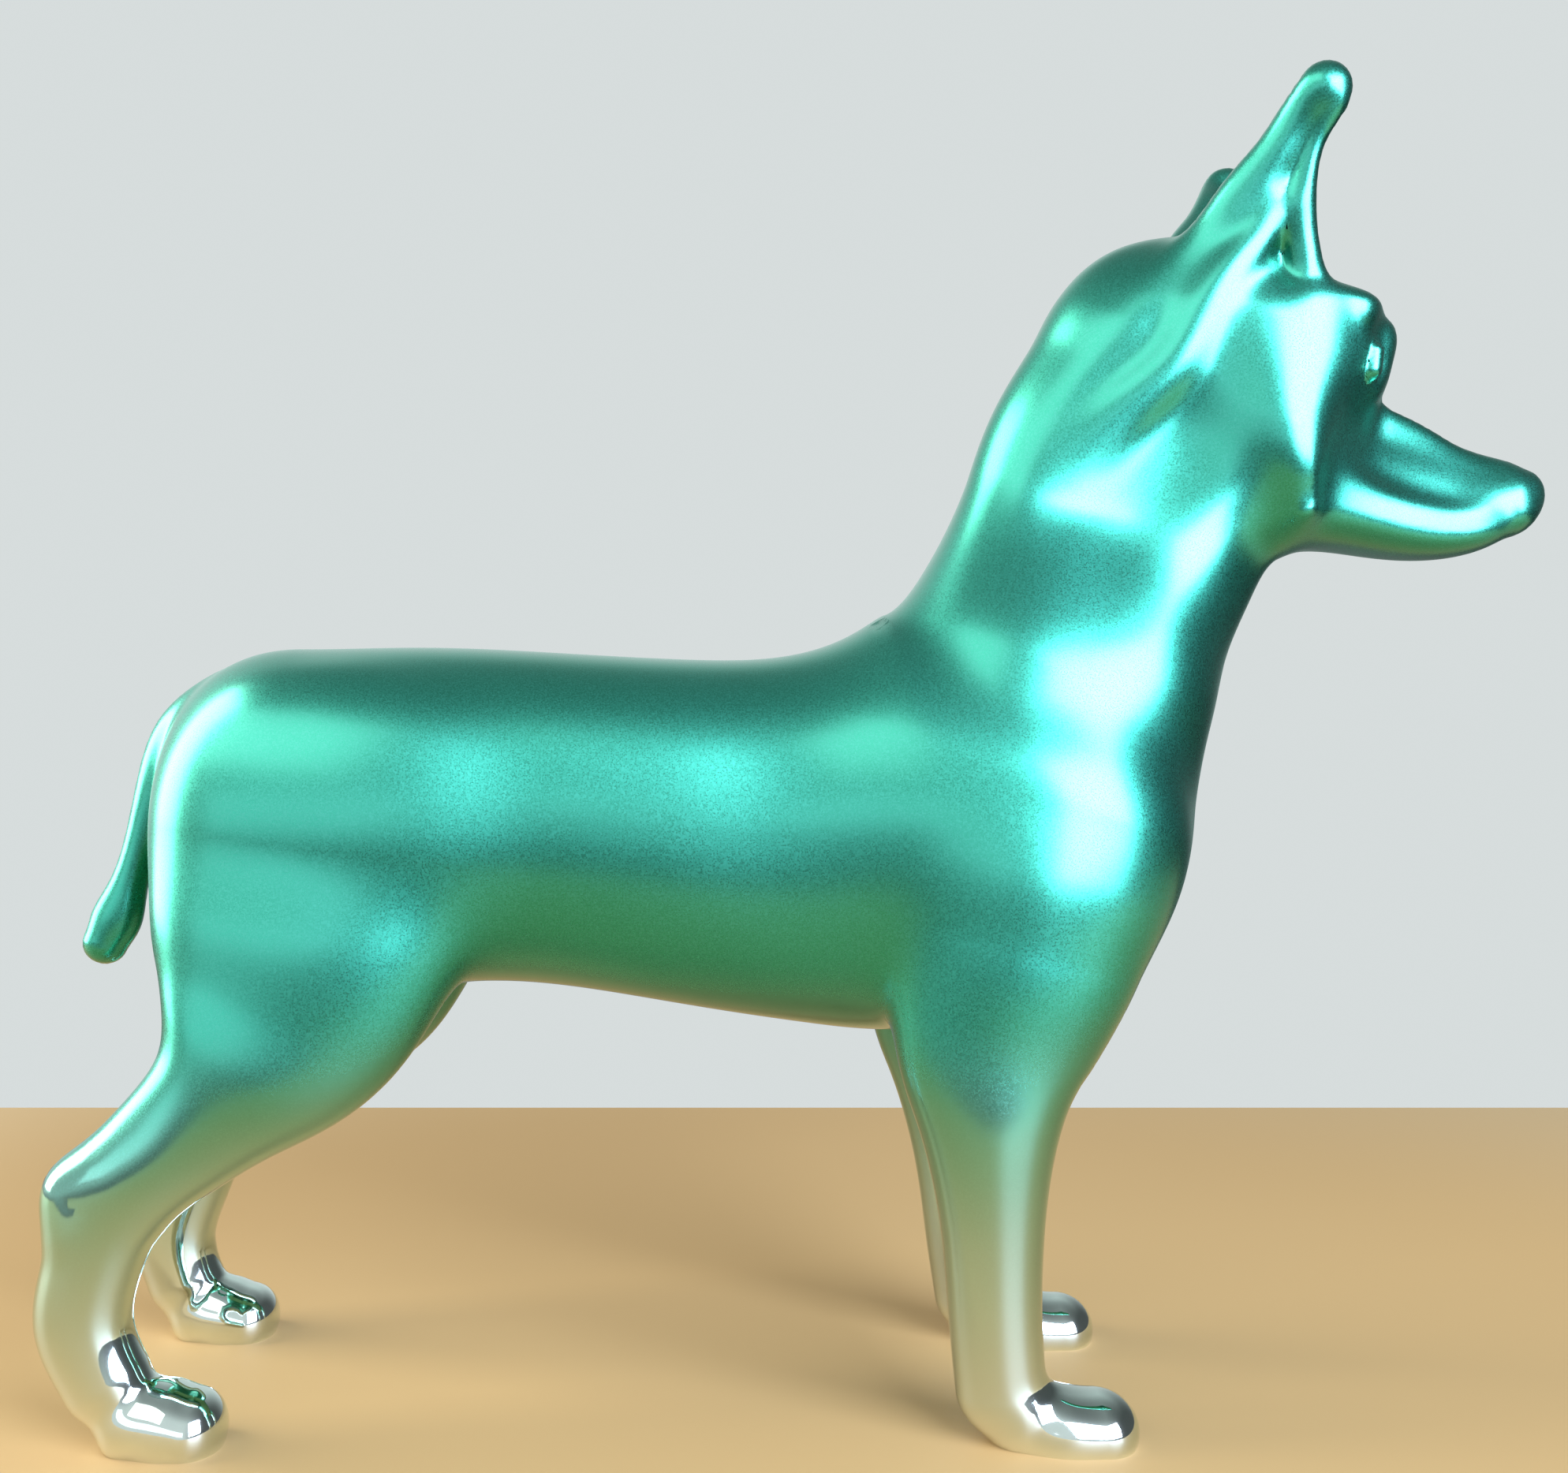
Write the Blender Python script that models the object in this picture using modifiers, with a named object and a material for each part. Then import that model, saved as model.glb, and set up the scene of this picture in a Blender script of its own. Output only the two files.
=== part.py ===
"""Standing dog figurine, cast in one hollow piece and finished in satin green that fades to bright metal.

The dog looks along +X, its left side is +Y, and the four soles stand on Z = 0.
The form is a family of limbs: smooth centre lines with an oval section that changes along them.
A soft union joins the limbs, and the skin of the casting is the surface of that union.
"""

import bmesh
import bpy
import numpy as np
from mathutils import Matrix, Vector

# Driving dimensions, metres
HEIGHT = 0.321            # ear tips above the soles
FRONT_TREAD = 0.063       # between the middles of the two front paws
HIND_TREAD = 0.069        # between the middles of the two hind paws
EAR_SPREAD = 0.066        # between the tips of the ears
FRONT_STAGGER = 0.006     # the left front paw stands this far ahead of the right one
HIND_STAGGER = -0.007     # the left hind paw stands this far behind the right one

# The pose and carving are shares of the height: 321 parts to the full height of the dog
PART = HEIGHT / 321

# Fineness of the casting's skin
VOXEL = 2.0 * PART        # grid on which the limbs are first fused
TRIANGLES = 9000          # faces left on the finished skin
SETTLE_STEPS = 6          # moves that bring each point onto the true surface
LONGEST_MOVE = 2.5        # limit of one such move, in parts
PROBE = 0.03              # half side of the little cube that feels the slope of the form, in parts
BEAD_SPACING = 3          # between the ovals threaded along a limb, in parts
MERGE = 1e-6              # points this close to the floor count as on it, metres

COLOUR = (0.035, 0.42, 0.25, 1.0)
ROUGHNESS = 0.3

# Each station is (x, y, z, half depth, half width): depth lies in the side view, width along Y
TRUNK = [(-128, 0, 145.5, 40.5, 33), (-100, 0, 145, 41.5, 35), (-67, 0, 143.8, 41.5, 34.5),
         (-30, 0, 140.3, 43.3, 34), (2, 0, 138, 46, 33.5), (29, 0, 139.5, 46, 34.5),
         (50, 0, 146, 41, 34)]
NECK = [(47, 0, 152, 40, 31), (53, 0, 166, 39.5, 27.5), (59, 0, 178, 39, 28.4),
        (64.7, 0, 191, 38, 26.2), (70.5, 0, 204, 37.5, 21), (75.5, 0, 215, 38, 16.9),
        (81.5, 0, 229, 39.2, 16.8), (89, 0, 240, 40.5, 18.8), (96.5, 0, 250.5, 42, 21.3)]
GULLET = [(107, 0, 236, 13, 20), (100.5, 0, 224, 13.5, 19.2), (93.5, 0, 213, 14.5, 18.2),
          (87, 0, 202, 16, 19.8), (81, 0, 191, 17, 23.6), (77, 0, 180, 18, 26)]
NAPE = [(92, 0, 276, 8.4, 14), (83, 0, 268, 9.2, 16), (68.5, 0, 252.5, 9.6, 15.5),
        (61, 0, 242, 9.6, 14.4), (51, 0, 221, 9, 13), (44.5, 0, 203.3, 8.6, 15), (39, 0, 186, 10, 19)]
CHEEKS = [(114, 0, 262, 21, 26), (113.5, 0, 249, 16.5, 26.3), (113.5, 0, 237, 11, 26),
          (115.5, 0, 226, 6, 24.6), (117, 0, 219, 3.8, 22)]
FOREHEAD = [(100, 0, 262, 17, 18), (118, 0, 260, 14, 20.5), (131.5, 0, 257.5, 12.5, 18)]
BRIDGE = [(118, 0, 243, 12, 8), (135, 0, 240.5, 10, 4), (150, 0, 235.3, 9, 3.8),
          (160, 0, 230.6, 8, 3.9), (168, 0, 228.5, 7, 4.5), (175, 0, 226.3, 6.7, 5.4),
          (179, 0, 225.3, 6, 5.4)]
JAW = [(116, 0, 226, 12, 18), (135, 0, 220, 8.8, 15.3), (150, 0, 216.5, 7.2, 12.8),
       (160, 0, 216, 6.3, 11.2), (168, 0, 217.9, 5.7, 9.3), (173.5, 0, 220.3, 5, 7.6)]
MUZZLE = [(116, 0, 234, 14, 14.3), (135, 0, 227.5, 11.5, 9.6), (150, 0, 224, 10, 8.4),
          (160, 0, 222, 8.8, 7.6), (168, 0, 222, 7.4, 7.3), (174.5, 0, 223, 5.8, 6.7)]
TAIL = [(-148, 0, 171, 9, 8), (-159.5, 0, 165, 7, 6), (-166, 0, 152, 5.2, 4.8),
        (-169.8, 0, 138, 4.4, 4.5), (-173.5, 0, 126, 4.9, 4.8), (-176.8, 0, 117, 6.3, 5.2),
        (-179.3, 0, 111.8, 5.6, 5)]

# Stations of the paired limbs, for the left side, with y as a share of half the tread or ear spread
SHOULDER = [(58.5, 0.72, 146, 17, 14), (54.5, 0.8, 131, 20.5, 15.5), (49.5, 0.82, 112, 21, 14.5)]
FRONT_LEG = [(52, 0.74, 136, 31, 17), (46, 0.84, 112, 26.5, 14.5), (39.5, 0.94, 87, 22, 12.4),
             (39, 0.98, 75, 17.5, 11.4), (39.2, 1, 62, 14, 10.4), (39.7, 1, 44, 11.6, 9.6),
             (40.3, 1, 26, 10.8, 9.2), (41.5, 1, 12, 10.6, 9)]
FRONT_PAW = [(46, 1, 6, 9, 9.3), (54, 1, 3.5, 9.3, 10.8), (64, 1, 3, 8.6, 10.8)]
HIND_LEG = [(-119, 0.58, 138, 38, 17), (-122, 0.72, 118, 36.5, 16), (-128, 0.82, 98, 31, 14),
            (-134, 0.9, 87.5, 24.6, 12.4), (-141, 0.94, 79, 18.2, 11), (-149, 0.97, 71.5, 15.2, 10),
            (-157.5, 1, 64, 13.8, 9.6), (-165.5, 1, 54, 13.2, 9.4), (-169.2, 1, 42, 11.4, 9),
            (-171.2, 1, 29, 11.2, 9), (-166, 1, 15.5, 10.2, 9)]
HOCK = [(-167, 1, 63, 6.5, 6), (-174, 1, 59.5, 6.2, 6), (-173, 1, 51, 6.2, 6)]
HIND_PAW = [(-160, 1, 6, 9.3, 9.4), (-151, 1, 4.8, 10.2, 10.4), (-146.5, 1, 4, 9.4, 10.2)]
EAR = [(99, 0.38, 269, 17, 8), (101, 0.48, 283, 11.8, 7), (104, 0.63, 294, 7.6, 5.8),
       (108.3, 0.76, 302, 5.6, 5), (112.4, 0.88, 309, 5.4, 4.8), (116.6, 1, 314.6, 6, 4.5)]
EAR_RIM = [(119, 0.56, 266, 6, 5), (116.6, 0.62, 276, 4.6, 4.6), (114.6, 0.7, 287, 3.7, 4),
           (114.4, 0.8, 297, 2.9, 3.4), (116, 0.9, 305, 2.6, 3), (118.6, 0.98, 311, 3, 3)]
EAR_ROOT = [(109, 0.68, 290, 3.4, 3.4), (104.5, 0.66, 283, 3.6, 3.6), (98, 0.64, 275.5, 3.8, 3.8),
            (92, 0.61, 266, 4.2, 4), (86, 0.58, 254.5, 4.8, 4.2), (75.5, 0.48, 244, 6, 4.4),
            (66, 0.35, 233, 7, 4.6), (59, 0.26, 219, 7, 4.6), (53, 0.32, 203, 7, 4.6)]
BROW = [(117, 0.62, 268, 4.4, 5), (127, 0.58, 267.5, 4.4, 5), (134.5, 0.46, 265, 4.4, 5),
        (138.4, 0.26, 262.8, 4.4, 5)]
EYE_HOLLOW = [(138.6, 0.66, 259.5, 3.4, 4.6), (138.2, 0.64, 254.5, 4, 5.4), (137, 0.68, 248, 3.6, 4.6)]
EYE = [(134.2, 0.53, 256.8, 2.7, 3.1), (133.8, 0.53, 252.8, 2.7, 3.1)]

# Heights, in parts, up to which the stagger of the paws leans the legs
HIND_LEAN = 40
FRONT_LEAN = 110
UPRIGHT = 1               # lean height of a limb that has no stagger

FAR = 1000                # a distance beyond the whole dog, in parts
TINY = 1e-9               # keeps a division away from zero
SEARCH_STEPS = 3          # moves that bring a point's place on a centre line close to the true one
SLOWEST = 0.3             # least share of a centre line's speed that such a move divides by
GENTLEST = 0.05           # least squared slope of the form that a move onto its surface divides by


def natural_spline(stations):
    """Cubic pieces through the stations, by distance along the side view: knots, values and bends.

    The line runs straight out at both ends in the side view, where its y and half sizes run level.
    """
    values = np.array(stations, dtype=float)
    steps = np.hypot(np.diff(values[:, 0]), np.diff(values[:, 2]))
    knots = np.concatenate([[0.0], np.cumsum(steps)])
    slopes = np.diff(values, axis=0) / steps[:, None]
    count = len(values)
    system = np.eye(count)
    target = np.zeros_like(values)
    for i in range(1, count - 1):
        system[i, i - 1:i + 2] = steps[i - 1], 2 * (steps[i - 1] + steps[i]), steps[i]
        target[i] = 6 * (slopes[i] - slopes[i - 1])
    bends = np.linalg.solve(system, target)
    level = [1, 3, 4]
    system[0, :2] = 2 * steps[0], steps[0]
    system[-1, -2:] = steps[-1], 2 * steps[-1]
    target[0], target[-1] = 6 * slopes[0], -6 * slopes[-1]
    bends[:, level] = np.linalg.solve(system, target[:, level])
    return knots, values, bends


def along(curve, s, columns=slice(None)):
    """Station values at distance s, with their first and second rates of change."""
    knots, values, bends = curve
    i = np.clip(np.searchsorted(knots, s, side="right") - 1, 0, len(knots) - 2)
    h = (knots[i + 1] - knots[i])[:, None]
    b = (s - knots[i])[:, None] / h
    a = 1 - b
    low, high = values[i, columns], values[i + 1, columns]
    low_bend, high_bend = bends[i, columns], bends[i + 1, columns]
    value = a * low + b * high + ((a**3 - a) * low_bend + (b**3 - b) * high_bend) * h * h / 6
    rate = (high - low) / h + ((3 * b * b - 1) * high_bend - (3 * a * a - 1) * low_bend) * h / 6
    return value, rate, a * low_bend + b * high_bend


class Limb:
    """An oval sweep that adds to the form, or cuts into it, with its own width of blend."""

    def __init__(self, stations, blend, caps=None, power=2.0, cuts=False):
        self.curve = natural_spline(stations)
        self.blend = blend
        self.power = power
        self.cuts = cuts
        self.length = self.curve[0][-1]
        self.caps = caps or (stations[0][3], stations[-1][3])
        self.guide = np.linspace(0, self.length, max(8, int(self.length / BEAD_SPACING)))
        self.beads = along(self.curve, self.guide)[0]
        reach = self.beads[:, 3:].max() + max(self.caps) + blend
        self.low = self.beads[:, :3].min(axis=0) - reach
        self.high = self.beads[:, :3].max(axis=0) + reach

    def nearest(self, points):
        """Distance along the centre line at which its normal plane meets each point."""
        flat = slice(0, 3, 2)
        gap = ((points[:, None, flat] - self.beads[None, :, flat])**2).sum(axis=2)
        s = self.guide[np.argmin(gap, axis=1)]
        for _ in range(SEARCH_STEPS):
            value, rate, bend = along(self.curve, s, flat)
            away = points[:, flat] - value
            speed = (rate**2).sum(axis=1)
            turn = (away * bend).sum(axis=1)
            step = (away * rate).sum(axis=1) / np.maximum(speed - turn, SLOWEST * speed)
            s = np.clip(s + step, 0, self.length)
        return s

    def distance(self, points):
        """Signed distance from each point to the limb's surface, negative inside it."""
        s = self.nearest(points)
        value, rate, _ = along(self.curve, s)
        away = points - value[:, :3]
        tangent = rate[:, [0, 2]] / np.linalg.norm(rate[:, [0, 2]], axis=1)[:, None]
        across = away[:, 0] * tangent[:, 1] - away[:, 2] * tangent[:, 0]
        beyond = away[:, 0] * tangent[:, 0] + away[:, 2] * tangent[:, 1]
        cap = np.where(s < 0.5 * self.length, self.caps[0], self.caps[1])
        offsets = np.stack([across, away[:, 1], beyond], axis=1)
        radii = np.stack([value[:, 3], value[:, 4], cap], axis=1)
        share = np.abs(offsets / radii) + TINY
        norm = (share**self.power).sum(axis=1)**(1 / self.power)
        steep = (share / norm[:, None])**(self.power - 1) / radii
        return (norm - 1) / np.linalg.norm(steep, axis=1)


def soft_min(a, b, width):
    """The lower of two distances, rounded where they come within the blend width."""
    overlap = np.maximum(width - np.abs(a - b), 0) / width
    return np.minimum(a, b) - overlap**3 * width / 6


def form(points, limbs):
    """Signed distance from each point to the whole dog."""
    total = np.full(len(points), float(FAR))
    for limb in limbs:
        near = np.all((points > limb.low) & (points < limb.high), axis=1)
        if not near.any():
            continue
        own = limb.distance(points[near])
        if limb.cuts:
            total[near] = -soft_min(-total[near], own, limb.blend)
        else:
            total[near] = soft_min(total[near], own, limb.blend)
    return total


def settle(points, limbs, steps):
    """Points moved straight onto the surface of the form."""
    corners = np.array([(1, 1, 1), (1, -1, -1), (-1, 1, -1), (-1, -1, 1)], dtype=float)
    for _ in range(steps):
        around = [form(points + corner * PROBE, limbs) for corner in corners]
        slope = sum(depth[:, None] * corner for depth, corner in zip(around, corners)) / (4 * PROBE)
        steep = np.maximum((slope**2).sum(axis=1), GENTLEST)
        move = -slope * (sum(around) / 4 / steep)[:, None]
        size = np.linalg.norm(move, axis=1)[:, None]
        points = points + move * np.minimum(1, LONGEST_MOVE / np.maximum(size, TINY))
    return points


def paired(stations, spread, stagger, reach):
    """Right and left copies of a limb. The left one leans by the stagger, which fades out at the reach."""
    half = spread / 2 / PART
    right = [(x, -y * half, z, deep, wide) for x, y, z, deep, wide in stations]
    left = [(x + stagger / PART * max(0, 1 - z / reach), y * half, z, deep, wide)
            for x, y, z, deep, wide in stations]
    return right, left


def dog_limbs():
    """Every limb of the dog, in the order in which they are blended.

    A blend is the width of the soft join with what came before. Caps are the lengths of the rounded ends.
    """
    limbs = [Limb(TRUNK, 1, caps=(36, 36), power=2.25), Limb(NECK, 44, caps=(40, 34), power=2.3),
             Limb(NAPE, 12, power=2.2)]
    pairs = [(HIND_LEG, HIND_TREAD, HIND_STAGGER, HIND_LEAN, dict(blend=22)),
             (SHOULDER, FRONT_TREAD, 0, UPRIGHT, dict(blend=20, caps=(14, 22))),
             (FRONT_LEG, FRONT_TREAD, FRONT_STAGGER, FRONT_LEAN, dict(blend=18)),
             (HOCK, HIND_TREAD, 0, UPRIGHT, dict(blend=7)),
             (HIND_PAW, HIND_TREAD, HIND_STAGGER, HIND_LEAN, dict(blend=6, caps=(8, 8.4))),
             (FRONT_PAW, FRONT_TREAD, FRONT_STAGGER, FRONT_LEAN, dict(blend=6, caps=(8, 9.4)))]
    head = [(EAR, EAR_SPREAD, 0, UPRIGHT, dict(blend=12, caps=(8, 6))),
            (EAR_RIM, EAR_SPREAD, 0, UPRIGHT, dict(blend=3, caps=(4, 3))),
            (EAR_ROOT, EAR_SPREAD, 0, UPRIGHT, dict(blend=8, caps=(4, 8))),
            (BROW, EAR_SPREAD, 0, UPRIGHT, dict(blend=7)),
            (EYE_HOLLOW, EAR_SPREAD, 0, UPRIGHT, dict(blend=6, cuts=True)),
            (EYE, EAR_SPREAD, 0, UPRIGHT, dict(blend=1.5))]
    for stations, spread, stagger, reach, shape in pairs:
        limbs += [Limb(side, **shape) for side in paired(stations, spread, stagger, reach)]
    limbs.append(Limb(GULLET, 16, caps=(8, 14)))
    limbs.append(Limb(CHEEKS, 18, caps=(14, 4), power=2.4))
    limbs.append(Limb(FOREHEAD, 14, caps=(14, 12), power=2.3))
    limbs.append(Limb(BRIDGE, 9, caps=(16, 5.5)))
    limbs.append(Limb(MUZZLE, 12, caps=(12, 5.5)))
    limbs.append(Limb(JAW, 10, caps=(12, 5), power=2.8))
    for stations, spread, stagger, reach, shape in head:
        limbs += [Limb(side, **shape) for side in paired(stations, spread, stagger, reach)]
    limbs.append(Limb(TAIL, 6, caps=(8, 5.2)))
    return limbs


def new_object(name, mesh, collection):
    """An object with the given mesh, placed in the collection."""
    item = bpy.data.objects.new(name, mesh)
    collection.objects.link(item)
    return item


def evaluated_mesh(item):
    """A plain mesh of the object with its modifiers applied."""
    bpy.context.view_layer.update()
    return bpy.data.meshes.new_from_object(item.evaluated_get(bpy.context.evaluated_depsgraph_get()))


def beaded_cage(limbs):
    """One mesh of overlapping ovals threaded along every limb."""
    cage = bmesh.new()
    for limb in limbs:
        if limb.cuts:
            continue
        for x, y, z, deep, wide in limb.beads:
            place = Matrix.Translation(Vector((x, y, z))) @ Matrix.Diagonal((deep, wide, deep, 1))
            bmesh.ops.create_icosphere(cage, subdivisions=2, radius=1, matrix=place)
    bmesh.ops.scale(cage, vec=(PART, PART, PART), verts=cage.verts)
    mesh = bpy.data.meshes.new("beaded_cage")
    cage.to_mesh(mesh)
    cage.free()
    return mesh


def settle_mesh(mesh, limbs, steps):
    """Moves the mesh's vertices onto the surface of the form."""
    points = np.empty(len(mesh.vertices) * 3)
    mesh.vertices.foreach_get("co", points)
    points = settle(points.reshape(-1, 3) / PART, limbs, steps) * PART
    mesh.vertices.foreach_set("co", points.ravel())
    mesh.update()


def cut_soles(mesh):
    """Cuts the paws off flat at the floor and closes each sole."""
    skin = bmesh.new()
    skin.from_mesh(mesh)
    everything = skin.verts[:] + skin.edges[:] + skin.faces[:]
    bmesh.ops.bisect_plane(skin, geom=everything, dist=MERGE, plane_co=(0, 0, 0), plane_no=(0, 0, 1),
                           clear_inner=True)
    rims = [edge for edge in skin.edges if edge.is_boundary]
    bmesh.ops.holes_fill(skin, edges=rims, sides=0)
    bmesh.ops.triangulate(skin, faces=skin.faces)
    bmesh.ops.recalc_face_normals(skin, faces=skin.faces)
    skin.to_mesh(mesh)
    skin.free()


def centre_over_origin(mesh):
    """Slides the mesh level, so that the middle of its bounding box is over the origin."""
    corners = np.array([vertex.co for vertex in mesh.vertices])
    middle = (corners.min(axis=0) + corners.max(axis=0)) / 2
    mesh.transform(Matrix.Translation((-middle[0], -middle[1], 0)))


def finish_material():
    """Satin green metal, the main colour of the casting."""
    material = bpy.data.materials.new("satin_green")
    material.use_nodes = True
    shader = material.node_tree.nodes["Principled BSDF"]
    shader.inputs["Base Color"].default_value = COLOUR
    shader.inputs["Roughness"].default_value = ROUGHNESS
    shader.inputs["Metallic"].default_value = 1.0
    return material


def build_dog(collection):
    """The whole casting: fused limbs, thinned to the wanted number of faces, standing on flat soles."""
    limbs = dog_limbs()
    fused = new_object("fused_limbs", beaded_cage(limbs), collection)
    remesh = fused.modifiers.new("fuse", "REMESH")
    remesh.mode = "VOXEL"
    remesh.voxel_size = VOXEL
    skin = evaluated_mesh(fused)
    bpy.data.objects.remove(fused)
    settle_mesh(skin, limbs, SETTLE_STEPS)

    thinned = new_object("thinned_skin", skin, collection)
    thin = thinned.modifiers.new("thin", "DECIMATE")
    thin.use_collapse_triangulate = True
    thin.ratio = TRIANGLES / sum(len(face.vertices) - 2 for face in skin.polygons)
    casting = evaluated_mesh(thinned)
    bpy.data.objects.remove(thinned)
    cut_soles(casting)
    centre_over_origin(casting)

    casting.name = "dog"
    casting.materials.clear()
    casting.materials.append(finish_material())
    casting.shade_smooth()
    return new_object("dog", casting, collection)


def main():
    """Builds the figurine in an emptied scene."""
    for item in list(bpy.data.objects):
        bpy.data.objects.remove(item)
    collection = bpy.data.collections.new("dog_figurine")
    bpy.context.scene.collection.children.link(collection)
    build_dog(collection)


main()
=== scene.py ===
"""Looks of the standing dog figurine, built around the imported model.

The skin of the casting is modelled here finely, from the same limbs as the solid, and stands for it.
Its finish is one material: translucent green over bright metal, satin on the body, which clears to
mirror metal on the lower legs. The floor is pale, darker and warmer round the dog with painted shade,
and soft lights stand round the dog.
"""

import math

import bmesh
import bpy
import numpy as np
from mathutils import Matrix, Vector


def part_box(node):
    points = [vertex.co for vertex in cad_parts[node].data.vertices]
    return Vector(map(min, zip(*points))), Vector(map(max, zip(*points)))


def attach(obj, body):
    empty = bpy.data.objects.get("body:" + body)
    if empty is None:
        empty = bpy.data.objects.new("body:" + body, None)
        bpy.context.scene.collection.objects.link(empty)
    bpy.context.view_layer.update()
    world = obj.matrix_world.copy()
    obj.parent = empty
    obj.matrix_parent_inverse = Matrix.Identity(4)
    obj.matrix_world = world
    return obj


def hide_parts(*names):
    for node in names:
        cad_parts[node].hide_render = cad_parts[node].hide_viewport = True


# Driving dimensions, metres, as in the part's source
HEIGHT = 0.321            # ear tips above the soles
FRONT_TREAD = 0.063       # between the middles of the two front paws
HIND_TREAD = 0.069        # between the middles of the two hind paws
EAR_SPREAD = 0.066        # between the tips of the ears
FRONT_STAGGER = 0.006     # the left front paw stands this far ahead of the right one
HIND_STAGGER = -0.007     # the left hind paw stands this far behind the right one

# The pose and carving are shares of the height: 321 parts to the full height of the dog
PART = HEIGHT / 321

# Fineness of the skin
VOXEL = 1.4 * PART        # grid on which the limbs are first fused
SETTLE_STEPS = 4          # moves that bring each point onto the true surface
LONGEST_MOVE = 2.5        # limit of one such move, in parts
PROBE = 0.03              # half side of the little cube that feels the slope of the form, in parts
BEAD_SPACING = 3          # between the ovals threaded along a limb, in parts
MERGE = 1e-6              # points this close to the floor count as on it, metres

# The photograph's camera: level, looking along +Y, with the picture's centre off the lens's axis
PHOTO_WIDTH = 1988        # pixels
PHOTO_HEIGHT = 1868
FOCAL_PIXELS = 1947
AXIS_PIXEL = (870, 950)   # where the lens's axis meets the picture
VIEWPOINT = (-0.032, -0.3894, 0.161)
SENSOR = 36.0             # millimetres

# The finish. Heights are metres above the floor; colours are linear
DEEP_GREEN = (0.016, 0.28, 0.185, 1)
THIN_GREEN = (0.034, 0.36, 0.265, 1)
FLAKE = (0.1, 0.5, 0.42, 1)
BRIGHT_METAL = (0.78, 0.84, 0.82, 1)
GREEN_ABOVE = 0.1         # full colour above this
CLEAR_BELOW = -0.02       # the fade heads for bare metal here, so a little colour is left at the floor
SATIN_ABOVE = 0.095       # full satin above this
MIRROR_BELOW = 0.05       # a mirror below this
SPRAY_FROM_ABOVE = 0.012  # the colour reaches this much lower on surfaces that face up
THIN_UNDERNEATH = 0.02    # and stops this much sooner on surfaces that face down
DRIFT_SCALE = 18          # edge of the fade wanders with this noise
DRIFT_DEPTH = 0.02
MIDDLE = 0.5              # of a noise, which runs from 0 to 1
CLOUD_SCALE = 22          # slow change in the depth of colour
GRAIN_SCALE = 2600        # the fine metallic grain
GRAIN_COLOUR = 0.25       # share of bright flake at the most
FLAKE_GRAIN = (0.35, 0.75)
GRAIN_ROUGHNESS = 0.05
ROUGH_GRAIN = (0.2, 0.8)
GRAIN_BUMP = 0.05
GRAIN_HEIGHT = 0.0001
SATIN_ROUGHNESS = 0.3
MIRROR_ROUGHNESS = 0.06
COAT = 0.5
COAT_ROUGHNESS = 0.25
SOLE_FACING = -0.98       # a face at the floor that points down as straight as this is part of a sole
SOLE_DEPTH = 0.0005

# The surroundings
FLOOR_REACH = 0.8         # floor to each side of the dog
FLOOR_FRONT = -0.36
FLOOR_BACK = 0.3
# Painted shade on the floor: darker and warmer near the dog, paler and cooler further out
FLOOR_SHADE_WARM = (0.37, 0.24, 0.1, 1)
FLOOR_UNSHADED = (0.42, 0.31, 0.17, 1)
FLOOR_SHADE_TO = 0.25      # metres out from the dog
FLOOR_UNSHADED_FROM = 0.6
FLOOR_ROUGHNESS = 0.6
FLOOR_SHINE = 0.2
SURROUND_COLOUR = (0.94, 1, 1, 1)
BACKDROP = 0.72           # what the camera sees beyond the floor
SURROUND_BRIGHT = 0.85    # what the dog mirrors, towards the tail and towards the nose
SURROUND_DIM = 0.1
BELOW_SHARE = 0.35        # brightness left below the horizon, beyond the floor
BELOW_FADE = (-0.12, 0.0)
DIM_SIDE = (0.0, 0.85)    # share of the way towards the nose over which the surroundings grow dim
DIM_ABOVE = (0.6, 0.95)   # and of the way up over which they dim to the ceiling's share
CEILING_SHARE = 0.45
LIT_CENTRE = (0.0, 0.0, 0.15)

# Azimuth 0 is towards the camera and 90 towards the nose. Reach is the distance from the lit centre
LIGHTS = [
    dict(name="window", azimuth=36, elevation=17, reach=0.9, width=0.68, height=0.66, radiance=19,
         colour=(0.82, 0.94, 1.18)),
    dict(name="left_window", azimuth=-92, elevation=22, reach=1.0, width=0.5, height=0.95, radiance=10,
         colour=(1, 0.98, 0.92)),
    dict(name="front_fill", azimuth=-42, elevation=34, reach=1.1, width=1.0, height=0.6, radiance=1.9,
         colour=(1, 1, 1)),
    dict(name="low_strip", azimuth=-30, elevation=4, reach=1.0, width=1.0, height=0.22, radiance=1.2,
         colour=(0.9, 0.97, 1.1)),
]

# Each station is (x, y, z, half depth, half width): depth lies in the side view, width along Y
TRUNK = [(-128, 0, 145.5, 40.5, 33), (-100, 0, 145, 41.5, 35), (-67, 0, 143.8, 41.5, 34.5),
         (-30, 0, 140.3, 43.3, 34), (2, 0, 138, 46, 33.5), (29, 0, 139.5, 46, 34.5),
         (50, 0, 146, 41, 34)]
NECK = [(47, 0, 152, 40, 31), (53, 0, 166, 39.5, 27.5), (59, 0, 178, 39, 28.4),
        (64.7, 0, 191, 38, 26.2), (70.5, 0, 204, 37.5, 21), (75.5, 0, 215, 38, 16.9),
        (81.5, 0, 229, 39.2, 16.8), (89, 0, 240, 40.5, 18.8), (96.5, 0, 250.5, 42, 21.3)]
GULLET = [(107, 0, 236, 13, 20), (100.5, 0, 224, 13.5, 19.2), (93.5, 0, 213, 14.5, 18.2),
          (87, 0, 202, 16, 19.8), (81, 0, 191, 17, 23.6), (77, 0, 180, 18, 26)]
NAPE = [(92, 0, 276, 8.4, 14), (83, 0, 268, 9.2, 16), (68.5, 0, 252.5, 9.6, 15.5),
        (61, 0, 242, 9.6, 14.4), (51, 0, 221, 9, 13), (44.5, 0, 203.3, 8.6, 15), (39, 0, 186, 10, 19)]
CHEEKS = [(114, 0, 262, 21, 26), (113.5, 0, 249, 16.5, 26.3), (113.5, 0, 237, 11, 26),
          (115.5, 0, 226, 6, 24.6), (117, 0, 219, 3.8, 22)]
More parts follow.
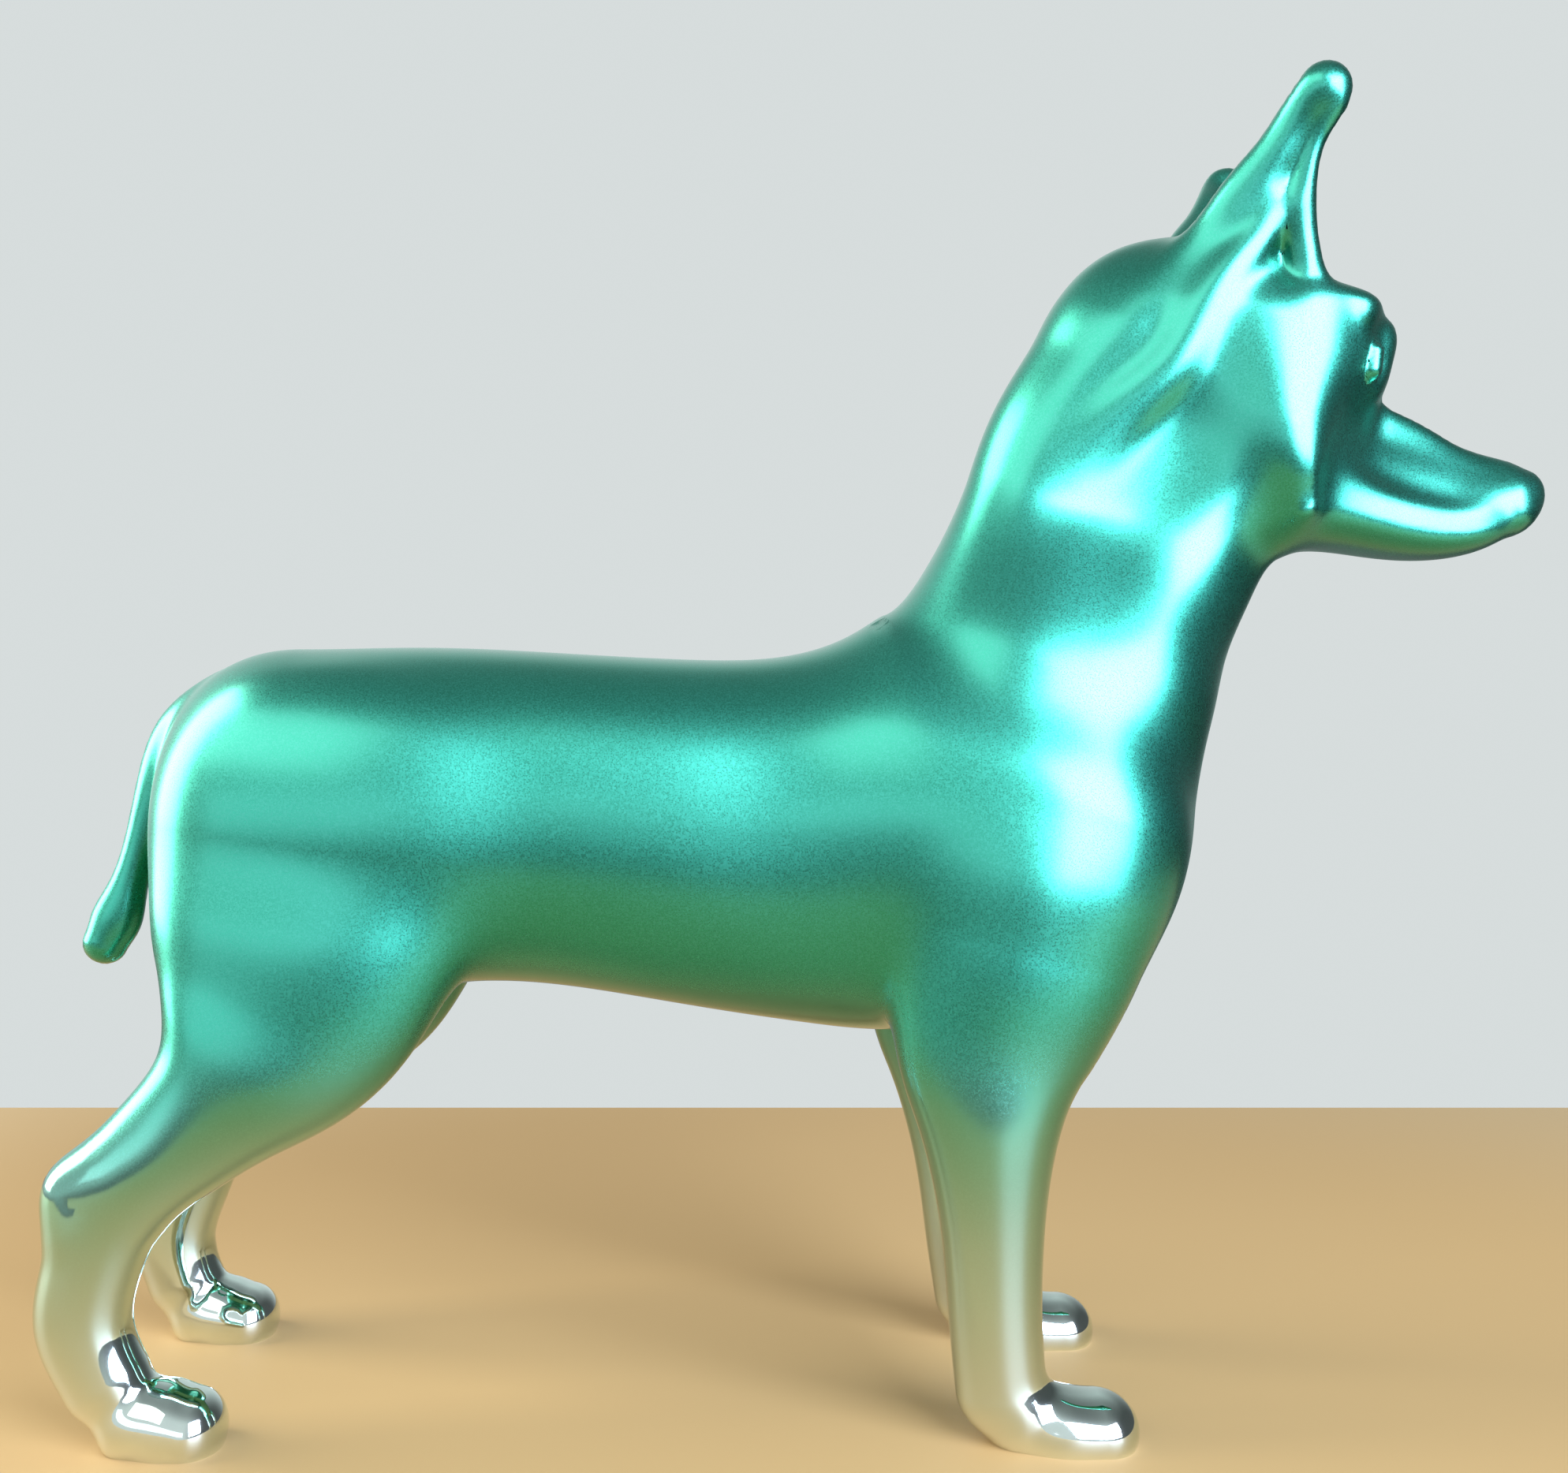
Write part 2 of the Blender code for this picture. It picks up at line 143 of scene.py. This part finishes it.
FOREHEAD = [(100, 0, 262, 17, 18), (118, 0, 260, 14, 20.5), (131.5, 0, 257.5, 12.5, 18)]
BRIDGE = [(118, 0, 243, 12, 8), (135, 0, 240.5, 10, 4), (150, 0, 235.3, 9, 3.8),
          (160, 0, 230.6, 8, 3.9), (168, 0, 228.5, 7, 4.5), (175, 0, 226.3, 6.7, 5.4),
          (179, 0, 225.3, 6, 5.4)]
JAW = [(116, 0, 226, 12, 18), (135, 0, 220, 8.8, 15.3), (150, 0, 216.5, 7.2, 12.8),
       (160, 0, 216, 6.3, 11.2), (168, 0, 217.9, 5.7, 9.3), (173.5, 0, 220.3, 5, 7.6)]
MUZZLE = [(116, 0, 234, 14, 14.3), (135, 0, 227.5, 11.5, 9.6), (150, 0, 224, 10, 8.4),
          (160, 0, 222, 8.8, 7.6), (168, 0, 222, 7.4, 7.3), (174.5, 0, 223, 5.8, 6.7)]
TAIL = [(-148, 0, 171, 9, 8), (-159.5, 0, 165, 7, 6), (-166, 0, 152, 5.2, 4.8),
        (-169.8, 0, 138, 4.4, 4.5), (-173.5, 0, 126, 4.9, 4.8), (-176.8, 0, 117, 6.3, 5.2),
        (-179.3, 0, 111.8, 5.6, 5)]

# Stations of the paired limbs, for the left side, with y as a share of half the tread or ear spread
SHOULDER = [(58.5, 0.72, 146, 17, 14), (54.5, 0.8, 131, 20.5, 15.5), (49.5, 0.82, 112, 21, 14.5)]
FRONT_LEG = [(52, 0.74, 136, 31, 17), (46, 0.84, 112, 26.5, 14.5), (39.5, 0.94, 87, 22, 12.4),
             (39, 0.98, 75, 17.5, 11.4), (39.2, 1, 62, 14, 10.4), (39.7, 1, 44, 11.6, 9.6),
             (40.3, 1, 26, 10.8, 9.2), (41.5, 1, 12, 10.6, 9)]
FRONT_PAW = [(46, 1, 6, 9, 9.3), (54, 1, 3.5, 9.3, 10.8), (64, 1, 3, 8.6, 10.8)]
HIND_LEG = [(-119, 0.58, 138, 38, 17), (-122, 0.72, 118, 36.5, 16), (-128, 0.82, 98, 31, 14),
            (-134, 0.9, 87.5, 24.6, 12.4), (-141, 0.94, 79, 18.2, 11), (-149, 0.97, 71.5, 15.2, 10),
            (-157.5, 1, 64, 13.8, 9.6), (-165.5, 1, 54, 13.2, 9.4), (-169.2, 1, 42, 11.4, 9),
            (-171.2, 1, 29, 11.2, 9), (-166, 1, 15.5, 10.2, 9)]
HOCK = [(-167, 1, 63, 6.5, 6), (-174, 1, 59.5, 6.2, 6), (-173, 1, 51, 6.2, 6)]
HIND_PAW = [(-160, 1, 6, 9.3, 9.4), (-151, 1, 4.8, 10.2, 10.4), (-146.5, 1, 4, 9.4, 10.2)]
EAR = [(99, 0.38, 269, 17, 8), (101, 0.48, 283, 11.8, 7), (104, 0.63, 294, 7.6, 5.8),
       (108.3, 0.76, 302, 5.6, 5), (112.4, 0.88, 309, 5.4, 4.8), (116.6, 1, 314.6, 6, 4.5)]
EAR_RIM = [(119, 0.56, 266, 6, 5), (116.6, 0.62, 276, 4.6, 4.6), (114.6, 0.7, 287, 3.7, 4),
           (114.4, 0.8, 297, 2.9, 3.4), (116, 0.9, 305, 2.6, 3), (118.6, 0.98, 311, 3, 3)]
EAR_ROOT = [(109, 0.68, 290, 3.4, 3.4), (104.5, 0.66, 283, 3.6, 3.6), (98, 0.64, 275.5, 3.8, 3.8),
            (92, 0.61, 266, 4.2, 4), (86, 0.58, 254.5, 4.8, 4.2), (75.5, 0.48, 244, 6, 4.4),
            (66, 0.35, 233, 7, 4.6), (59, 0.26, 219, 7, 4.6), (53, 0.32, 203, 7, 4.6)]
BROW = [(117, 0.62, 268, 4.4, 5), (127, 0.58, 267.5, 4.4, 5), (134.5, 0.46, 265, 4.4, 5),
        (138.4, 0.26, 262.8, 4.4, 5)]
EYE_HOLLOW = [(138.6, 0.66, 259.5, 3.4, 4.6), (138.2, 0.64, 254.5, 4, 5.4), (137, 0.68, 248, 3.6, 4.6)]
EYE = [(134.2, 0.53, 256.8, 2.7, 3.1), (133.8, 0.53, 252.8, 2.7, 3.1)]

# Heights, in parts, up to which the stagger of the paws leans the legs
HIND_LEAN = 40
FRONT_LEAN = 110
UPRIGHT = 1               # lean height of a limb that has no stagger

FAR = 1000                # a distance beyond the whole dog, in parts
TINY = 1e-9               # keeps a division away from zero
SEARCH_STEPS = 3          # moves that bring a point's place on a centre line close to the true one
SLOWEST = 0.3             # least share of a centre line's speed that such a move divides by
GENTLEST = 0.05           # least squared slope of the form that a move onto its surface divides by


def natural_spline(stations):
    """Cubic pieces through the stations, by distance along the side view: knots, values and bends.

    The line runs straight out at both ends in the side view, where its y and half sizes run level.
    """
    values = np.array(stations, dtype=float)
    steps = np.hypot(np.diff(values[:, 0]), np.diff(values[:, 2]))
    knots = np.concatenate([[0.0], np.cumsum(steps)])
    slopes = np.diff(values, axis=0) / steps[:, None]
    count = len(values)
    system = np.eye(count)
    target = np.zeros_like(values)
    for i in range(1, count - 1):
        system[i, i - 1:i + 2] = steps[i - 1], 2 * (steps[i - 1] + steps[i]), steps[i]
        target[i] = 6 * (slopes[i] - slopes[i - 1])
    bends = np.linalg.solve(system, target)
    level = [1, 3, 4]
    system[0, :2] = 2 * steps[0], steps[0]
    system[-1, -2:] = steps[-1], 2 * steps[-1]
    target[0], target[-1] = 6 * slopes[0], -6 * slopes[-1]
    bends[:, level] = np.linalg.solve(system, target[:, level])
    return knots, values, bends


def along(curve, s, columns=slice(None)):
    """Station values at distance s, with their first and second rates of change."""
    knots, values, bends = curve
    i = np.clip(np.searchsorted(knots, s, side="right") - 1, 0, len(knots) - 2)
    h = (knots[i + 1] - knots[i])[:, None]
    b = (s - knots[i])[:, None] / h
    a = 1 - b
    low, high = values[i, columns], values[i + 1, columns]
    low_bend, high_bend = bends[i, columns], bends[i + 1, columns]
    value = a * low + b * high + ((a**3 - a) * low_bend + (b**3 - b) * high_bend) * h * h / 6
    rate = (high - low) / h + ((3 * b * b - 1) * high_bend - (3 * a * a - 1) * low_bend) * h / 6
    return value, rate, a * low_bend + b * high_bend


class Limb:
    """An oval sweep that adds to the form, or cuts into it, with its own width of blend."""

    def __init__(self, stations, blend, caps=None, power=2.0, cuts=False):
        self.curve = natural_spline(stations)
        self.blend = blend
        self.power = power
        self.cuts = cuts
        self.length = self.curve[0][-1]
        self.caps = caps or (stations[0][3], stations[-1][3])
        self.guide = np.linspace(0, self.length, max(8, int(self.length / BEAD_SPACING)))
        self.beads = along(self.curve, self.guide)[0]
        reach = self.beads[:, 3:].max() + max(self.caps) + blend
        self.low = self.beads[:, :3].min(axis=0) - reach
        self.high = self.beads[:, :3].max(axis=0) + reach

    def nearest(self, points):
        """Distance along the centre line at which its normal plane meets each point."""
        flat = slice(0, 3, 2)
        gap = ((points[:, None, flat] - self.beads[None, :, flat])**2).sum(axis=2)
        s = self.guide[np.argmin(gap, axis=1)]
        for _ in range(SEARCH_STEPS):
            value, rate, bend = along(self.curve, s, flat)
            away = points[:, flat] - value
            speed = (rate**2).sum(axis=1)
            turn = (away * bend).sum(axis=1)
            step = (away * rate).sum(axis=1) / np.maximum(speed - turn, SLOWEST * speed)
            s = np.clip(s + step, 0, self.length)
        return s

    def distance(self, points):
        """Signed distance from each point to the limb's surface, negative inside it."""
        s = self.nearest(points)
        value, rate, _ = along(self.curve, s)
        away = points - value[:, :3]
        tangent = rate[:, [0, 2]] / np.linalg.norm(rate[:, [0, 2]], axis=1)[:, None]
        across = away[:, 0] * tangent[:, 1] - away[:, 2] * tangent[:, 0]
        beyond = away[:, 0] * tangent[:, 0] + away[:, 2] * tangent[:, 1]
        cap = np.where(s < 0.5 * self.length, self.caps[0], self.caps[1])
        offsets = np.stack([across, away[:, 1], beyond], axis=1)
        radii = np.stack([value[:, 3], value[:, 4], cap], axis=1)
        share = np.abs(offsets / radii) + TINY
        norm = (share**self.power).sum(axis=1)**(1 / self.power)
        steep = (share / norm[:, None])**(self.power - 1) / radii
        return (norm - 1) / np.linalg.norm(steep, axis=1)


def soft_min(a, b, width):
    """The lower of two distances, rounded where they come within the blend width."""
    overlap = np.maximum(width - np.abs(a - b), 0) / width
    return np.minimum(a, b) - overlap**3 * width / 6


def form(points, limbs):
    """Signed distance from each point to the whole dog."""
    total = np.full(len(points), float(FAR))
    for limb in limbs:
        near = np.all((points > limb.low) & (points < limb.high), axis=1)
        if not near.any():
            continue
        own = limb.distance(points[near])
        if limb.cuts:
            total[near] = -soft_min(-total[near], own, limb.blend)
        else:
            total[near] = soft_min(total[near], own, limb.blend)
    return total


def feel(points, limbs):
    """Signed distance from each point to the dog, and its slope there."""
    corners = np.array([(1, 1, 1), (1, -1, -1), (-1, 1, -1), (-1, -1, 1)], dtype=float)
    around = [form(points + corner * PROBE, limbs) for corner in corners]
    slope = sum(depth[:, None] * corner for depth, corner in zip(around, corners)) / (4 * PROBE)
    return sum(around) / 4, slope


def settle(points, limbs, steps):
    """Points moved straight onto the surface of the form."""
    for _ in range(steps):
        depth, slope = feel(points, limbs)
        move = -slope * (depth / np.maximum((slope**2).sum(axis=1), GENTLEST))[:, None]
        size = np.linalg.norm(move, axis=1)[:, None]
        points = points + move * np.minimum(1, LONGEST_MOVE / np.maximum(size, TINY))
    return points


def paired(stations, spread, stagger, reach):
    """Right and left copies of a limb. The left one leans by the stagger, up to the reach."""
    half = spread / 2 / PART
    right = [(x, -y * half, z, deep, wide) for x, y, z, deep, wide in stations]
    left = [(x + stagger / PART * max(0, 1 - z / reach), y * half, z, deep, wide)
            for x, y, z, deep, wide in stations]
    return right, left


def dog_limbs():
    """Every limb of the dog, in the order in which they are blended.

    A blend is the width of the soft join with what came before. Caps are the rounded ends' lengths.
    """
    limbs = [Limb(TRUNK, 1, caps=(36, 36), power=2.25), Limb(NECK, 44, caps=(40, 34), power=2.3),
             Limb(NAPE, 12, power=2.2)]
    pairs = [(HIND_LEG, HIND_TREAD, HIND_STAGGER, HIND_LEAN, dict(blend=22)),
             (SHOULDER, FRONT_TREAD, 0, UPRIGHT, dict(blend=20, caps=(14, 22))),
             (FRONT_LEG, FRONT_TREAD, FRONT_STAGGER, FRONT_LEAN, dict(blend=18)),
             (HOCK, HIND_TREAD, 0, UPRIGHT, dict(blend=7)),
             (HIND_PAW, HIND_TREAD, HIND_STAGGER, HIND_LEAN, dict(blend=6, caps=(8, 8.4))),
             (FRONT_PAW, FRONT_TREAD, FRONT_STAGGER, FRONT_LEAN, dict(blend=6, caps=(8, 9.4)))]
    head = [(EAR, EAR_SPREAD, 0, UPRIGHT, dict(blend=12, caps=(8, 6))),
            (EAR_RIM, EAR_SPREAD, 0, UPRIGHT, dict(blend=3, caps=(4, 3))),
            (EAR_ROOT, EAR_SPREAD, 0, UPRIGHT, dict(blend=8, caps=(4, 8))),
            (BROW, EAR_SPREAD, 0, UPRIGHT, dict(blend=7)),
            (EYE_HOLLOW, EAR_SPREAD, 0, UPRIGHT, dict(blend=6, cuts=True)),
            (EYE, EAR_SPREAD, 0, UPRIGHT, dict(blend=1.5))]
    for stations, spread, stagger, reach, shape in pairs:
        limbs += [Limb(side, **shape) for side in paired(stations, spread, stagger, reach)]
    limbs.append(Limb(GULLET, 16, caps=(8, 14)))
    limbs.append(Limb(CHEEKS, 18, caps=(14, 4), power=2.4))
    limbs.append(Limb(FOREHEAD, 14, caps=(14, 12), power=2.3))
    limbs.append(Limb(BRIDGE, 9, caps=(16, 5.5)))
    limbs.append(Limb(MUZZLE, 12, caps=(12, 5.5)))
    limbs.append(Limb(JAW, 10, caps=(12, 5), power=2.8))
    for stations, spread, stagger, reach, shape in head:
        limbs += [Limb(side, **shape) for side in paired(stations, spread, stagger, reach)]
    limbs.append(Limb(TAIL, 6, caps=(8, 5.2)))
    return limbs


def new_object(name, mesh):
    """An object with the given mesh, in the scene."""
    item = bpy.data.objects.new(name, mesh)
    bpy.context.scene.collection.objects.link(item)
    return item


def evaluated_mesh(item):
    """A plain mesh of the object with its modifiers applied."""
    bpy.context.view_layer.update()
    return bpy.data.meshes.new_from_object(item.evaluated_get(bpy.context.evaluated_depsgraph_get()))


def beaded_cage(limbs):
    """One mesh of overlapping ovals threaded along every limb."""
    cage = bmesh.new()
    for limb in limbs:
        if limb.cuts:
            continue
        for x, y, z, deep, wide in limb.beads:
            place = Matrix.Translation(Vector((x, y, z))) @ Matrix.Diagonal((deep, wide, deep, 1))
            bmesh.ops.create_icosphere(cage, subdivisions=2, radius=1, matrix=place)
    bmesh.ops.scale(cage, vec=(PART, PART, PART), verts=cage.verts)
    mesh = bpy.data.meshes.new("beaded_cage")
    cage.to_mesh(mesh)
    cage.free()
    return mesh


def corners_of(mesh):
    """The mesh's vertices as rows of x, y and z."""
    points = np.empty(len(mesh.vertices) * 3)
    mesh.vertices.foreach_get("co", points)
    return points.reshape(-1, 3)


def move_corners(mesh, points):
    """Puts the mesh's vertices at the given places."""
    mesh.vertices.foreach_set("co", points.ravel())
    mesh.update()


def cut_soles(mesh):
    """Cuts the paws off flat at the floor and closes each sole."""
    skin = bmesh.new()
    skin.from_mesh(mesh)
    everything = skin.verts[:] + skin.edges[:] + skin.faces[:]
    bmesh.ops.bisect_plane(skin, geom=everything, dist=MERGE, plane_co=(0, 0, 0), plane_no=(0, 0, 1),
                           clear_inner=True)
    rims = [edge for edge in skin.edges if edge.is_boundary]
    soles = bmesh.ops.holes_fill(skin, edges=rims, sides=0)["faces"]
    bmesh.ops.triangulate(skin, faces=soles)
    bmesh.ops.recalc_face_normals(skin, faces=skin.faces)
    skin.to_mesh(mesh)
    skin.free()


def shade_by_form(mesh, limbs):
    """Gives each corner the true slope of the form, for clean reflections, and keeps the soles flat."""
    _, slope = feel(corners_of(mesh) / PART, limbs)
    slope /= np.linalg.norm(slope, axis=1)[:, None]
    vertex_of = np.empty(len(mesh.loops), dtype=int)
    mesh.loops.foreach_get("vertex_index", vertex_of)
    normals = slope[vertex_of]
    for face in mesh.polygons:
        if face.normal.z < SOLE_FACING and abs(face.center.z) < SOLE_DEPTH:
            normals[face.loop_start:face.loop_start + face.loop_total] = (0, 0, -1)
    mesh.shade_smooth()
    mesh.normals_split_custom_set(normals)


def fit_to_solid(mesh, node):
    """Slides and sizes the skin, so that its bounding box is that of the solid it stands for."""
    low, high = (np.array(corner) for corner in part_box(node))
    points = corners_of(mesh)
    own_low, own_high = points.min(axis=0), points.max(axis=0)
    move_corners(mesh, low + (points - own_low) * (high - low) / (own_high - own_low))


def build_skin():
    """The fine skin of the casting."""
    limbs = dog_limbs()
    fused = new_object("fused_limbs", beaded_cage(limbs))
    remesh = fused.modifiers.new("fuse", "REMESH")
    remesh.mode = "VOXEL"
    remesh.voxel_size = VOXEL
    skin = evaluated_mesh(fused)
    bpy.data.objects.remove(fused)
    move_corners(skin, settle(corners_of(skin) / PART, limbs, SETTLE_STEPS) * PART)
    cut_soles(skin)
    shade_by_form(skin, limbs)
    fit_to_solid(skin, "dog")
    skin.name = "dog_skin"
    skin.materials.clear()
    skin.materials.append(metallic_finish())
    return new_object("dog_skin", skin)


class Nodes:
    """Short ways to add and join the nodes of one node tree."""

    def __init__(self, tree):
        self.tree = tree

    def add(self, kind, inputs=None, **settings):
        """A node of that kind, with its settings, and with a value or a link for each named input."""
        node = self.tree.nodes.new(kind)
        for name, value in settings.items():
            setattr(node, name, value)
        for name, value in (inputs or {}).items():
            self.feed(node.inputs[name], value)
        return node

    def feed(self, socket, value):
        """Joins the socket to another, or sets its value."""
        if isinstance(value, bpy.types.NodeSocket):
            self.tree.links.new(value, socket)
        else:
            socket.default_value = value

    def sum(self, kind, *values):
        """The outcome of one step of arithmetic."""
        node = self.add("ShaderNodeMath", operation=kind)
        for socket, value in zip(node.inputs, values):
            self.feed(socket, value)
        return node.outputs[0]

    def noise(self, place, scale, detail=2.0):
        """Smooth noise from 0 to 1 over the given coordinates."""
        return self.add("ShaderNodeTexNoise",
                        {"Vector": place, "Scale": scale, "Detail": detail}).outputs["Fac"]

    def ramp(self, value, low, high, to_low=0.0, to_high=1.0):
        """The value carried from one range to another, with soft ends."""
        node = self.add("ShaderNodeMapRange", {"Value": value, "From Min": low, "From Max": high,
                                               "To Min": to_low, "To Max": to_high},
                        interpolation_type="SMOOTHSTEP")
        return node.outputs["Result"]

    def mix(self, share, first, second, kind="RGBA"):
        """A colour between the first and the second, or a number where the kind is FLOAT."""
        node = self.add("ShaderNodeMix", data_type=kind)
        self.feed(node.inputs["Factor"], share)
        self.feed(node.inputs["A"], first)
        self.feed(node.inputs["B"], second)
        return node.outputs["Result"]


def metallic_finish():
    """Translucent green over bright metal: satin above, clearing to mirror metal on the lower legs."""
    material = bpy.data.materials.new("metallic_finish")
    material.use_nodes = True
    nodes = Nodes(material.node_tree)
    shader = material.node_tree.nodes["Principled BSDF"]
    place = nodes.add("ShaderNodeTexCoord").outputs["Object"]
    height = nodes.add("ShaderNodeSeparateXYZ", {"Vector": place}).outputs["Z"]
    facing = nodes.add("ShaderNodeSeparateXYZ",
                       {"Vector": nodes.add("ShaderNodeNewGeometry").outputs["Normal"]}).outputs["Z"]
    drift = nodes.noise(place, DRIFT_SCALE)
    drifted = nodes.sum("MULTIPLY_ADD", nodes.sum("SUBTRACT", drift, MIDDLE), DRIFT_DEPTH, height)
    lit = nodes.sum("MULTIPLY_ADD", facing, SPRAY_FROM_ABOVE, drifted)
    sprayed = nodes.sum("MULTIPLY_ADD", nodes.sum("MINIMUM", facing, 0.0), THIN_UNDERNEATH, lit)
    bare = nodes.ramp(sprayed, CLEAR_BELOW, GREEN_ABOVE, 1.0, 0.0)
    cleared = nodes.ramp(sprayed, MIRROR_BELOW, SATIN_ABOVE, 1.0, 0.0)

    cloud = nodes.noise(place, CLOUD_SCALE)
    grain = nodes.noise(place, GRAIN_SCALE, detail=1.0)
    green = nodes.mix(cloud, THIN_GREEN, DEEP_GREEN)
    speckled = nodes.mix(nodes.ramp(grain, *FLAKE_GRAIN, 0.0, GRAIN_COLOUR), green, FLAKE)
    nodes.feed(shader.inputs["Base Color"], nodes.mix(bare, speckled, BRIGHT_METAL))
    satin = nodes.ramp(grain, *ROUGH_GRAIN, SATIN_ROUGHNESS - GRAIN_ROUGHNESS,
                       SATIN_ROUGHNESS + GRAIN_ROUGHNESS)
    nodes.feed(shader.inputs["Roughness"], nodes.mix(cleared, satin, MIRROR_ROUGHNESS, "FLOAT"))
    depth = nodes.sum("MULTIPLY", nodes.sum("SUBTRACT", 1.0, cleared), GRAIN_BUMP)
    bump = nodes.add("ShaderNodeBump", {"Height": grain, "Strength": depth, "Distance": GRAIN_HEIGHT})
    nodes.feed(shader.inputs["Normal"], bump.outputs["Normal"])
    shader.inputs["Metallic"].default_value = 1.0
    shader.inputs["Coat Weight"].default_value = COAT
    shader.inputs["Coat Roughness"].default_value = COAT_ROUGHNESS
    return material


def floor_material():
    """Pale floor with painted shade: a little darker and warmer where the dog stands."""
    material = bpy.data.materials.new("pale_floor_painted_shade")
    material.use_nodes = True
    nodes = Nodes(material.node_tree)
    shader = material.node_tree.nodes["Principled BSDF"]
    place = nodes.add("ShaderNodeTexCoord").outputs["Object"]
    out = nodes.add("ShaderNodeVectorMath", {0: place}, operation="LENGTH").outputs["Value"]
    # painted shade: the floor darkens and warms towards the dog
    far = nodes.ramp(out, FLOOR_SHADE_TO, FLOOR_UNSHADED_FROM)
    nodes.feed(shader.inputs["Base Color"], nodes.mix(far, FLOOR_SHADE_WARM, FLOOR_UNSHADED))
    shader.inputs["Roughness"].default_value = FLOOR_ROUGHNESS
    shader.inputs["Specular IOR Level"].default_value = FLOOR_SHINE
    return material


def build_floor():
    """A pale floor, with painted shade round the dog, that ends behind the dog where the photograph's
    does.
    """
    mesh = bpy.data.meshes.new("floor")
    corners = [(-FLOOR_REACH, FLOOR_FRONT, 0), (FLOOR_REACH, FLOOR_FRONT, 0),
               (FLOOR_REACH, FLOOR_BACK, 0), (-FLOOR_REACH, FLOOR_BACK, 0)]
    mesh.from_pydata(corners, [], [(0, 1, 2, 3)])
    mesh.materials.append(floor_material())
    floor = new_object("floor", mesh)


def build_world():
    """Soft light from all round, dimmer above, below the horizon and ahead of the dog's nose."""
    world = bpy.data.worlds.new("soft_surround")
    bpy.context.scene.world = world
    world.use_nodes = True
    nodes = Nodes(world.node_tree)
    background = world.node_tree.nodes["Background"]
    way = nodes.add("ShaderNodeTexCoord").outputs["Generated"]
    across = nodes.add("ShaderNodeSeparateXYZ", {"Vector": way})
    side = nodes.ramp(across.outputs["X"], *DIM_SIDE, SURROUND_BRIGHT, SURROUND_DIM)
    above = nodes.ramp(across.outputs["Z"], *DIM_ABOVE, 1.0, CEILING_SHARE)
    seen = nodes.add("ShaderNodeLightPath").outputs["Is Camera Ray"]
    below = nodes.ramp(across.outputs["Z"], *BELOW_FADE, BELOW_SHARE, 1.0)
    light = nodes.sum("MULTIPLY", nodes.sum("MULTIPLY", side, above), below)
    nodes.feed(background.inputs["Color"], SURROUND_COLOUR)
    nodes.feed(background.inputs["Strength"], nodes.mix(seen, light, BACKDROP, "FLOAT"))


def soft_light(name, azimuth, elevation, reach, width, height, radiance, colour):
    """A rectangular soft light that faces the dog."""
    data = bpy.data.lights.new(name, "AREA")
    data.shape = "RECTANGLE"
    data.size = width
    data.size_y = height
    data.energy = radiance * math.pi * width * height
    data.color = colour
    lamp = bpy.data.objects.new(name, data)
    bpy.context.scene.collection.objects.link(lamp)
    turn, lift = math.radians(azimuth), math.radians(elevation)
    away = Vector((math.sin(turn) * math.cos(lift), -math.cos(turn) * math.cos(lift), math.sin(lift)))
    lamp.location = Vector(LIT_CENTRE) + away * reach
    lamp.rotation_euler = away.to_track_quat("Z", "Y").to_euler()
    lamp.visible_camera = False


def build_lights():
    """The soft lights, placed where the photograph's highlights mirror its windows and walls."""
    for light in LIGHTS:
        soft_light(**light)


def build_camera():
    """The photograph's camera."""
    data = bpy.data.cameras.new("camera")
    data.sensor_width = SENSOR
    data.lens = SENSOR * FOCAL_PIXELS / PHOTO_WIDTH
    data.shift_x = (PHOTO_WIDTH / 2 - AXIS_PIXEL[0]) / PHOTO_WIDTH
    data.shift_y = (AXIS_PIXEL[1] - PHOTO_HEIGHT / 2) / PHOTO_WIDTH
    camera = bpy.data.objects.new("camera", data)
    camera.location = VIEWPOINT
    camera.rotation_euler = (math.radians(90), 0, 0)
    bpy.context.scene.collection.objects.link(camera)
    bpy.context.scene.camera = camera


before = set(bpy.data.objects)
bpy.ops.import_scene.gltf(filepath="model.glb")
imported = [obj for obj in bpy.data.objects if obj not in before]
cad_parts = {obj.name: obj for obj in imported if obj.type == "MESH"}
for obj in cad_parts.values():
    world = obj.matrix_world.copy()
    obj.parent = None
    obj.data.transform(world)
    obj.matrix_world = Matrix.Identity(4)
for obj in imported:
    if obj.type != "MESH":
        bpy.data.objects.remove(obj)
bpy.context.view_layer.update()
bpy.context.scene.view_settings.view_transform = "Standard"
dog = build_skin()
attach(dog, "root")
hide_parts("dog")
build_floor()
build_world()
build_lights()
build_camera()
